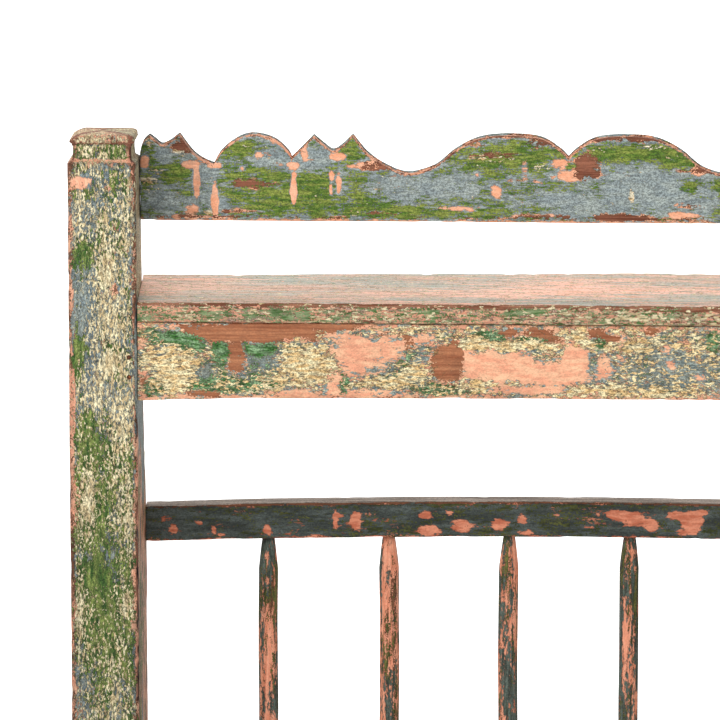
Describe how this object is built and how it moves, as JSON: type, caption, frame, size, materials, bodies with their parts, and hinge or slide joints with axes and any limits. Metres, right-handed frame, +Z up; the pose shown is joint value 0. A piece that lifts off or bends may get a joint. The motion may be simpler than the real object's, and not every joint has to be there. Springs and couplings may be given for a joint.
{
  "type": "church pew",
  "caption": "Painted wooden church pew with a book shelf along its back, a carved wavy crest rail, a spindle back, arms and a planked seat.",
  "frame": {"origin": "centre of the footprint on the floor", "axes": "+Z up, +X along the pew, +Y towards the sitter's front, so the book-shelf side faces -Y"},
  "size_m": [0.918, 0.52, 1.137],
  "materials": {
    "post_paint": "flaked paint, cream, green and slate over pink primer and bare wood",
    "crest_paint": "flaked green over slate paint, pink primer at the edges",
    "shelf_wood": "sun-bleached bare wood with traces of pink and grey-green paint",
    "apron_paint": "patchy cream, green and slate paint over pink primer",
    "rail_paint": "dark slate paint chipped to pink primer",
    "spindle_paint": "worn dark green paint and pink primer on shaved wood",
    "frame_paint": "flaked green and cream paint over pink primer",
    "seat_wood": "bare wood worn smooth, with paint left near the edges",
    "peg_wood": "end-grain wood",
    "iron": "rusted iron"
  },
  "bodies": {
    "root": {"rear_post_left": "post_paint", "front_leg_left": "frame_paint", "arm_left": "frame_paint", "side_seat_rail_left": "frame_paint", "side_stretcher_left": "frame_paint", "apron_nail_left_upper": "iron", "apron_nail_left_lower": "iron", "crest_peg_left": "peg_wood", "upper_rail_peg_left": "peg_wood", "lower_rail_peg_left": "peg_wood", "rear_seat_rail_peg_left": "peg_wood", "front_seat_rail_peg_left": "peg_wood", "side_rail_peg_left_rear": "peg_wood", "arm_peg_left_rear": "peg_wood", "arm_peg_left_front": "peg_wood", "rear_post_right": "post_paint", "front_leg_right": "frame_paint", "arm_right": "frame_paint", "side_seat_rail_right": "frame_paint", "side_stretcher_right": "frame_paint", "apron_nail_right_upper": "iron", "apron_nail_right_lower": "iron", "crest_peg_right": "peg_wood", "upper_rail_peg_right": "peg_wood", "lower_rail_peg_right": "peg_wood", "rear_seat_rail_peg_right": "peg_wood", "front_seat_rail_peg_right": "peg_wood", "side_rail_peg_right_rear": "peg_wood", "arm_peg_right_rear": "peg_wood", "arm_peg_right_front": "peg_wood", "crest_rail": "crest_paint", "shelf_board": "shelf_wood", "shelf_apron": "apron_paint", "spindle_rail_upper": "rail_paint", "spindle_rail_lower": "rail_paint", "spindle_1": "spindle_paint", "spindle_2": "spindle_paint", "spindle_3": "spindle_paint", "spindle_4": "spindle_paint", "spindle_5": "spindle_paint", "spindle_6": "spindle_paint", "rear_seat_rail": "frame_paint", "front_seat_rail": "frame_paint", "seat_bearer": "frame_paint", "cross_stretcher": "frame_paint", "seat_plank_1": "seat_wood", "seat_plank_2": "seat_wood", "seat_plank_3": "seat_wood", "seat_plank_4": "seat_wood"}
  },
  "joints": []
}
